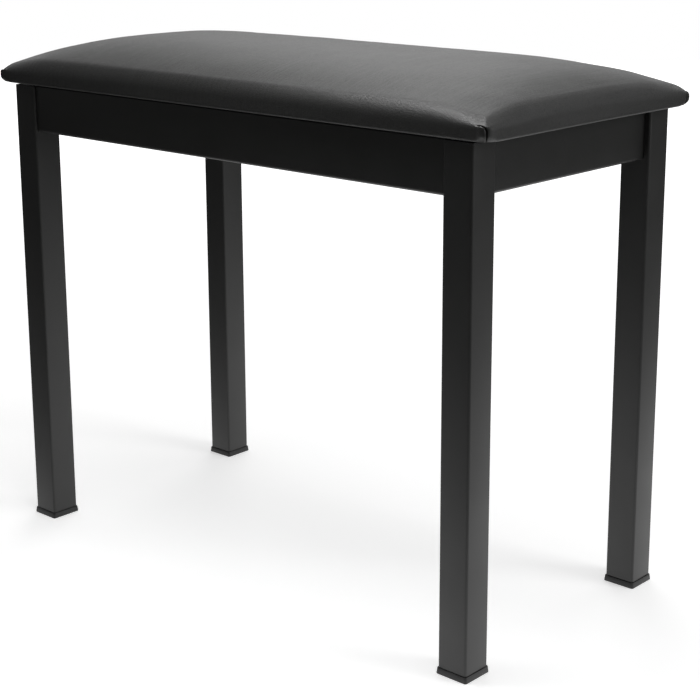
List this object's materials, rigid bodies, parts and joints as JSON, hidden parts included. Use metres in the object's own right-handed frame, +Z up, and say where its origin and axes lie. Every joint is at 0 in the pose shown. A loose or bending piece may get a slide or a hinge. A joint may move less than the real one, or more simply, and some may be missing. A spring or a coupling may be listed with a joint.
{
  "type": "keyboard bench",
  "caption": "Padded rectangular bench on square tube legs that come off: each leg is drawn into a corner of the steel frame by a stud and a wing nut.",
  "frame": {"origin": "on the floor, at the centre of the bench's outline", "axes": "+X along the seat's length, +Y to the back, +Z up"},
  "size_m": [0.616, 0.294, 0.5033],
  "materials": {
    "seat_vinyl": "black vinyl, fine leather grain, satin",
    "seat_foam": "open-cell upholstery foam",
    "seat_board": "pressed wood board",
    "dust_cloth": "thin black non-woven cloth",
    "frame_paint": "black powder coat on steel, fine texture, satin",
    "leg_paint": "black powder coat on steel tube, fine texture, satin",
    "foot_plastic": "moulded black plastic",
    "plug_plastic": "moulded black plastic",
    "fixing_zinc": "bright zinc plate",
    "screw_zinc": "bright zinc plate"
  },
  "bodies": {
    "seat_frame": {"seat_cover": "seat_vinyl", "seat_foam": "seat_foam", "seat_board": "seat_board", "dust_cover": "dust_cloth", "front_apron": "frame_paint", "front_seat_screw_1": "screw_zinc", "front_seat_screw_2": "screw_zinc", "right_apron": "frame_paint", "right_seat_screw_1": "screw_zinc", "right_seat_screw_2": "screw_zinc", "back_apron": "frame_paint", "back_seat_screw_1": "screw_zinc", "back_seat_screw_2": "screw_zinc", "left_apron": "frame_paint", "left_seat_screw_1": "screw_zinc", "left_seat_screw_2": "screw_zinc", "front_left_bracket": "frame_paint", "front_right_bracket": "frame_paint", "back_right_bracket": "frame_paint", "back_left_bracket": "frame_paint"},
    "front_left_leg": {"front_left_leg_tube": "leg_paint", "front_left_foot_cap": "foot_plastic", "front_left_leg_plug": "plug_plastic", "front_left_stud_anchor": "fixing_zinc", "front_left_leg_stud": "fixing_zinc"},
    "front_left_washer": {"front_left_washer": "fixing_zinc"},
    "front_left_wing_nut": {"front_left_wing_nut": "fixing_zinc"},
    "front_right_leg": {"front_right_leg_tube": "leg_paint", "front_right_foot_cap": "foot_plastic", "front_right_leg_plug": "plug_plastic", "front_right_stud_anchor": "fixing_zinc", "front_right_leg_stud": "fixing_zinc"},
    "front_right_washer": {"front_right_washer": "fixing_zinc"},
    "front_right_wing_nut": {"front_right_wing_nut": "fixing_zinc"},
    "back_right_leg": {"back_right_leg_tube": "leg_paint", "back_right_foot_cap": "foot_plastic", "back_right_leg_plug": "plug_plastic", "back_right_stud_anchor": "fixing_zinc", "back_right_leg_stud": "fixing_zinc"},
    "back_right_washer": {"back_right_washer": "fixing_zinc"},
    "back_right_wing_nut": {"back_right_wing_nut": "fixing_zinc"},
    "back_left_leg": {"back_left_leg_tube": "leg_paint", "back_left_foot_cap": "foot_plastic", "back_left_leg_plug": "plug_plastic", "back_left_stud_anchor": "fixing_zinc", "back_left_leg_stud": "fixing_zinc"},
    "back_left_washer": {"back_left_washer": "fixing_zinc"},
    "back_left_wing_nut": {"back_left_wing_nut": "fixing_zinc"}
  },
  "joints": [
    {"name": "front_left_leg_draw", "type": "slide", "parent": "seat_frame", "child": "front_left_leg", "axis": [-0.7071, -0.7071, 0], "range_m": [0, 0.032]},
    {"name": "front_left_nut_turn", "type": "hinge", "parent": "seat_frame", "child": "front_left_washer", "pos_m": [-0.26, -0.112, 0.424], "axis": [0.7071, 0.7071, 0], "range_deg": [0, 6480]},
    {"name": "front_left_nut_travel", "type": "slide", "parent": "front_left_washer", "child": "front_left_wing_nut", "axis": [0.7071, 0.7071, 0], "range_m": [0, 0.018]},
    {"name": "front_right_leg_draw", "type": "slide", "parent": "seat_frame", "child": "front_right_leg", "axis": [0.7071, -0.7071, 0], "range_m": [0, 0.032]},
    {"name": "front_right_nut_turn", "type": "hinge", "parent": "seat_frame", "child": "front_right_washer", "pos_m": [0.26, -0.112, 0.424], "axis": [-0.7071, 0.7071, 0], "range_deg": [0, 6480]},
    {"name": "front_right_nut_travel", "type": "slide", "parent": "front_right_washer", "child": "front_right_wing_nut", "axis": [-0.7071, 0.7071, 0], "range_m": [0, 0.018]},
    {"name": "back_right_leg_draw", "type": "slide", "parent": "seat_frame", "child": "back_right_leg", "axis": [0.7071, 0.7071, 0], "range_m": [0, 0.032]},
    {"name": "back_right_nut_turn", "type": "hinge", "parent": "seat_frame", "child": "back_right_washer", "pos_m": [0.26, 0.112, 0.424], "axis": [-0.7071, -0.7071, 0], "range_deg": [0, 6480]},
    {"name": "back_right_nut_travel", "type": "slide", "parent": "back_right_washer", "child": "back_right_wing_nut", "axis": [-0.7071, -0.7071, 0], "range_m": [0, 0.018]},
    {"name": "back_left_leg_draw", "type": "slide", "parent": "seat_frame", "child": "back_left_leg", "axis": [-0.7071, 0.7071, 0], "range_m": [0, 0.032]},
    {"name": "back_left_nut_turn", "type": "hinge", "parent": "seat_frame", "child": "back_left_washer", "pos_m": [-0.26, 0.112, 0.424], "axis": [0.7071, -0.7071, 0], "range_deg": [0, 6480]},
    {"name": "back_left_nut_travel", "type": "slide", "parent": "back_left_washer", "child": "back_left_wing_nut", "axis": [0.7071, -0.7071, 0], "range_m": [0, 0.018]}
  ],
  "couplings": [
    {"joint": "front_left_nut_travel", "follows": "front_left_nut_turn", "m_per_rad": 0.00015915},
    {"joint": "front_right_nut_travel", "follows": "front_right_nut_turn", "m_per_rad": 0.00015915},
    {"joint": "back_right_nut_travel", "follows": "back_right_nut_turn", "m_per_rad": 0.00015915},
    {"joint": "back_left_nut_travel", "follows": "back_left_nut_turn", "m_per_rad": 0.00015915}
  ]
}
